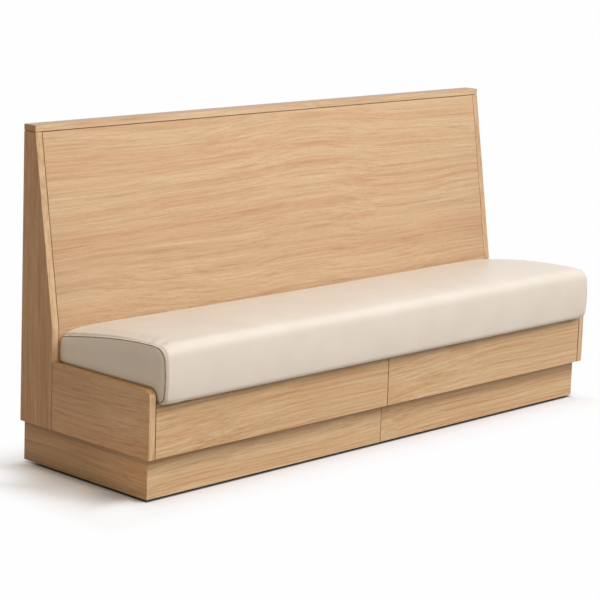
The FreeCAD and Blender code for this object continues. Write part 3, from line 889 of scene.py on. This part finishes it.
# %% Pucker the seams and round the mesh
pucker_height, pucker_width, pucker_fade = 0.5 * MM, 15 * MM, 16 * MM
pucker_reach, pucker_level = 60 * MM, 305 * MM
left_pattern, right_pattern = 3.1, 9.7
for vertex in cushion_mesh.vertices:
    distance = cushion_half * MM - abs(vertex.co.x)
    if 1 * MM < distance < pucker_reach and vertex.co.z > pucker_level:
        pattern = right_pattern if vertex.co.x > 0 else left_pattern
        across = Vector((pattern, vertex.co.y / pucker_width, vertex.co.z / pucker_width))
        vertex.co += vertex.normal * slow_noise(across) * pucker_height * math.exp(-distance / pucker_fade)
rounding = cushion.modifiers.new("Rounding", "SUBSURF")
rounding.levels = rounding.render_levels = 1
rounded = bpy.data.meshes.new_from_object(evaluated(cushion))
cushion.modifiers.clear()
cushion.vertex_groups.clear()
cushion.data = rounded
cushion_mesh = rounded
cushion_mesh.shade_smooth()
print("rounded cushion:", len(cushion_mesh.polygons), "faces")

# %% [markdown]
# ## Leather
#
# Finished upholstery leather, cream, with a satin coat. Seen near, it has a fine pebbled
# grain of cells about 1 mm across, and seen from a step away a faint mottling. The coat
# gives a soft broad highlight along the rounded edges.

# %% Leather and the lining under it
leather, tree, shader = new_material("Cream finished leather")
spot = add_node(tree, "ShaderNodeTexCoord")
mottle = add_node(tree, "ShaderNodeTexNoise", {
    "Vector": spot.outputs["Object"], "Scale": 9.0, "Detail": 3.0,
})
hide_tone = tone_ramp(tree, mottle, ((0.3, "#EEE6DF"), (0.7, "#F2EBE6")))
pebbles = add_node(tree, "ShaderNodeTexVoronoi", {"Vector": spot.outputs["Object"], "Scale": 800.0})
grain_bump = add_node(tree, "ShaderNodeBump", {"Height": pebbles.outputs["Distance"], "Strength": 0.25,
                                               "Distance": 0.25 * MM})
satin = add_node(tree, "ShaderNodeMapRange", {0: mottle, 3: 0.36, 4: 0.43})
# A painted shade: a dark line where the leather goes down behind the seat end panel, which has a
# round corner. It shows only on the ends of the cushion.
panel_box = np.array(boards["seat_end_panel_left"].bound_box)
panel_front, panel_top, panel_corner = panel_box[:, 1].min(), panel_box[:, 2].max(), 24 * MM
end_start = (cushion_half - 1.2) * MM
painted_tuck_shade = "#4E3B2A"
lined_below = 304.3
off_corner = add_node(tree, "ShaderNodeVectorMath", {
    0: spot.outputs["Object"], 1: (0, -1, 1), 2: (0, panel_front + panel_corner, panel_corner - panel_top),
}, operation="MULTIPLY_ADD")
outward = add_node(tree, "ShaderNodeVectorMath", {0: off_corner, 1: (0, 0, 0)}, operation="MAXIMUM")
reach = add_node(tree, "ShaderNodeVectorMath", {0: outward}, operation="LENGTH").outputs["Value"]
shares = [add_node(tree, "ShaderNodeMapRange", {
    0: reach, 1: panel_corner, 2: panel_corner + width * MM, 3: strength, 4: 0.0,
}, interpolation_type="SMOOTHSTEP") for width, strength in ((13, 0.85), (30, 0.15))]
both_shares = add_node(tree, "ShaderNodeMath", {0: shares[0], 1: shares[1]}, operation="MAXIMUM")
spot_axes = add_node(tree, "ShaderNodeSeparateXYZ", {0: spot.outputs["Object"]})
from_middle = add_node(tree, "ShaderNodeMath", {0: spot_axes.outputs[0]}, operation="ABSOLUTE")
on_end = add_node(tree, "ShaderNodeMath", {0: from_middle, 1: end_start}, operation="GREATER_THAN")
tuck_shade_share = add_node(tree, "ShaderNodeMath", {0: both_shares, 1: on_end}, operation="MULTIPLY")
plug(tree, shader, {
    "Base Color": coated(tree, hide_tone, [(tuck_shade_share, linear(painted_tuck_shade), "MIX")]), "Roughness": satin,
    "Normal": grain_bump, "IOR": 1.5, "Specular IOR Level": 0.3,
})
lining = mottled("Black bonded lining", 700.0, "#1F1F20", "#2E2E2F", {"Roughness": 0.9}, detail=3.0)[0]
# Painted shade in the crease at each end seam
seam_shade = mottled("Painted seam shade on leather", 90.0, "#8A7862", "#A08E76", {"Roughness": 0.8})[0]
for material in (leather, lining, seam_shade):
    cushion_mesh.materials.append(material)
lined = 0
for face in cushion_mesh.polygons:
    if face.center.z < lined_below * MM and face.normal.z < -0.9:
        face.material_index = 1
        lined += 1
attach(cushion, "cushion")
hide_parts("cushion_foam", "cushion_cover", "cushion_end_cover_left", "cushion_end_cover_right")
print("lined faces:", lined)

# %% [markdown]
# ## Stitches
#
# A row of topstitching holds the seam flat, 6 mm from it on the main cover. The stitches
# follow a line of the mesh, so Geometry Nodes makes them: the line becomes a curve, points
# are set along it at the stitch pitch, and each takes one short thread turned along the
# line.

# %% Stitches along a seam
def add_inputs(tree, wanted):
    """Named inputs of a Geometry Nodes tree, geometry first. The identifier of each by name."""
    tree.interface.new_socket("Geometry", in_out="OUTPUT", socket_type="NodeSocketGeometry")
    found = {}
    for name, kind in wanted.items():
        socket = tree.interface.new_socket(name, in_out="INPUT", socket_type="NodeSocket" + kind)
        found[name] = socket.identifier
    return found


def as_plain_mesh(piece, tree, inputs):
    """Run a tree on a piece and keep its result as the piece's own mesh."""
    modifier = piece.modifiers.new(tree.name, "NODES")
    modifier.node_group = tree
    for identifier, value in inputs.items():
        modifier[identifier] = value
    made = bpy.data.meshes.new_from_object(evaluated(piece))
    piece.modifiers.clear()
    piece.data = made
    return made


stitching = bpy.data.node_groups.new("Stitches along a seam", "GeometryNodeTree")
stitch_inputs = add_inputs(stitching, {
    "Seam": "Geometry", "Pitch": "Float", "Stitch": "Vector", "Thread": "Material",
})
entry = add_node(stitching, "NodeGroupInput")
line = add_node(stitching, "GeometryNodeMeshToCurve", {"Mesh": entry.outputs["Seam"]})
spaced = add_node(stitching, "GeometryNodeCurveToPoints", {"Curve": line, "Length": entry.outputs["Pitch"]},
                  mode="LENGTH")
along = add_node(stitching, "FunctionNodeAlignRotationToVector", {"Vector": spaced.outputs["Tangent"]},
                 axis="X")
strand = add_node(stitching, "GeometryNodeMeshUVSphere", {"Segments": 8, "Rings": 5, "Radius": 1.0})
laid = add_node(stitching, "GeometryNodeInstanceOnPoints", {
    "Points": spaced.outputs["Points"], "Instance": strand,
    "Rotation": along, "Scale": entry.outputs["Stitch"],
})
real = add_node(stitching, "GeometryNodeRealizeInstances", {0: laid})
named = add_node(stitching, "GeometryNodeSetMaterial", {
    "Geometry": real, "Material": entry.outputs["Thread"],
})
add_node(stitching, "NodeGroupOutput", {0: named})

stitch_pitch, stitch_lift = 9.5 * MM, 0.15 * MM
stitch_size = (3.2 * MM, 0.9 * MM, 0.6 * MM)
thread = mottled("Bonded polyester thread", 1200.0, "#B79F86", "#C9B39B", {"Roughness": 0.6})[0]
stitch_ring = near_seam.index(stitch_place)
stitch_lines = bpy.data.meshes.new("cushion_stitches")
line_points = []
line_edges = []
visible_steps = list(range(wide + 2, ring_size - 2))
for ring_number in (stitch_ring, len(rings) - 1 - stitch_ring):
    start = len(line_points)
    for step in visible_steps:
        vertex = cushion_mesh.vertices[ring_number * ring_size + step]
        line_points.append(vertex.co + vertex.normal * stitch_lift)
    line_edges.extend((start + step, start + step + 1) for step in range(len(visible_steps) - 1))
stitch_lines.from_pydata(line_points, line_edges, [])
stitches = in_scene("cushion_stitches", stitch_lines)
stitch_mesh = as_plain_mesh(stitches, stitching, {
    stitch_inputs["Pitch"]: stitch_pitch, stitch_inputs["Stitch"]: stitch_size,
    stitch_inputs["Thread"]: thread,
})
stitch_mesh.shade_smooth()
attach(stitches, "cushion")
print("stitch faces:", len(stitch_mesh.polygons))

# %% [markdown]
# ## Screws
#
# The CAD screws are plain countersunk cones in their right places. The heads that can be
# seen, on the rear panel, on the deck under the cushion and on the floor brackets, get
# their cross recess here. One screw of each length is shaped, and Geometry Nodes sets a
# copy of it on every place.

# %% Shape one screw
head_radius, head_height, shank_radius = 4.0, 2.2, 2.0
recess_reach, recess_half, recess_depth, recess_taper = 2.3, 0.4, 1.3, 0.6
tip_radius, tip_length = 0.3, 4.0
round_steps = 24


def screw_shape(length):
    """A countersunk cross-recess screw, its head at the origin facing +Z, in metres."""
    shape = bmesh.new()
    profile = ((head_radius, 0.0), (shank_radius, -head_height), (shank_radius, tip_length - length),
               (tip_radius, -length))
    turns = [2 * math.pi * step / round_steps for step in range(round_steps)]
    rim_rings = [[shape.verts.new((radius * MM * math.cos(t), radius * MM * math.sin(t), level * MM))
                  for t in turns] for radius, level in profile]
    for upper, lower in zip(rim_rings, rim_rings[1:]):
        for step in range(round_steps):
            after = (step + 1) % round_steps
            shape.faces.new((upper[step], lower[step], lower[after], upper[after]))
    shape.faces.new(rim_rings[-1][::-1])
    arm = [(recess_half, recess_half), (recess_half, recess_reach), (-recess_half, recess_reach)]
    cross = []
    for _ in range(4):
        cross += arm
        arm = [(-y, x) for x, y in arm]
    top = [shape.verts.new((x * MM, y * MM, 0)) for x, y in cross]
    low = [shape.verts.new((x * recess_taper * MM, y * recess_taper * MM, -recess_depth * MM))
           for x, y in cross]
    count = len(cross)
    for step in range(count):
        after = (step + 1) % count
        shape.faces.new((top[step], top[after], low[after], low[step]))
    shape.faces.new(low)
    rim = [shape.edges.get((loop[step], loop[(step + 1) % len(loop)]))
           for loop in (rim_rings[0], top) for step in range(len(loop))]
    bmesh.ops.triangle_fill(shape, use_beauty=True, edges=rim)
    bmesh.ops.recalc_face_normals(shape, faces=shape.faces)
    mesh = bpy.data.meshes.new("One screw")
    shape.to_mesh(mesh)
    shape.free()
    return bpy.data.objects.new("One screw", mesh)


setting = bpy.data.node_groups.new("Screws on their places", "GeometryNodeTree")
screw_inputs = add_inputs(setting, {
    "Places": "Geometry", "Screw": "Object", "Outward": "Vector", "Steel": "Material",
})
entry = add_node(setting, "NodeGroupInput")
pattern = add_node(setting, "GeometryNodeObjectInfo", {"Object": entry.outputs["Screw"]})
facing = add_node(setting, "FunctionNodeAlignRotationToVector", {"Vector": entry.outputs["Outward"]},
                  axis="Z")
placed = add_node(setting, "GeometryNodeInstanceOnPoints", {
    "Points": entry.outputs["Places"], "Instance": pattern.outputs["Geometry"], "Rotation": facing,
})
solid = add_node(setting, "GeometryNodeRealizeInstances", {0: placed})
plated = add_node(setting, "GeometryNodeSetMaterial", {
    "Geometry": solid, "Material": entry.outputs["Steel"],
})
add_node(setting, "NodeGroupOutput", {0: plated})
print("screw head:", 2 * head_radius, "mm across")

# %% [markdown]
# ## Places of the screws
#
# The places are read from the CAD screws: each loose part of a node is one screw, and the
# rim of its head is what stands furthest outward.

# %% Set the screws
merge_gap, rim_depth = 0.01 * MM, 0.1 * MM


def screw_places(node, outward):
    """Centre of the head of each screw in a CAD node, which stands furthest outward."""
    merged = bmesh.new()
    merged.from_mesh(boards[node].data)
    bmesh.ops.remove_doubles(merged, verts=merged.verts, dist=merge_gap)
    left = set(merged.verts)
    centres = []
    while left:
        island = {left.pop()}
        edge_of_search = list(island)
        while edge_of_search:
            vertex = edge_of_search.pop()
            fresh = {edge.other_vert(vertex) for edge in vertex.link_edges} & left
            left -= fresh
            island |= fresh
            edge_of_search.extend(fresh)
        highest = max(vertex.co.dot(outward) for vertex in island)
        rim = [vertex.co for vertex in island if vertex.co.dot(outward) > highest - rim_depth]
        low = Vector([min(place[axis] for place in rim) for axis in range(3)])
        high = Vector([max(place[axis] for place in rim) for axis in range(3)])
        centres.append((low + high) / 2)
    merged.free()
    return sorted(centres, key=tuple)


visible_screws = {
    "rear_panel_screws": (Vector((0, 1, 0)), 21.0), "bracket_screws": (Vector((0, 1, 0)), 16.0),
    "deck_screws": (Vector((0, 0, 1)), 42.0),
}
for node, (outward, length) in visible_screws.items():
    places = screw_places(node, outward)
    dots = bpy.data.meshes.new(node)
    dots.from_pydata(places, [], [])
    group = in_scene(node + "_crossed", dots)
    one_screw = screw_shape(length)
    as_plain_mesh(group, setting, {
        screw_inputs["Screw"]: one_screw, screw_inputs["Outward"]: outward, screw_inputs["Steel"]: steel,
    })
    bpy.data.objects.remove(one_screw)
    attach(group, "booth")
    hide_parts(node)
    print(node, len(places))
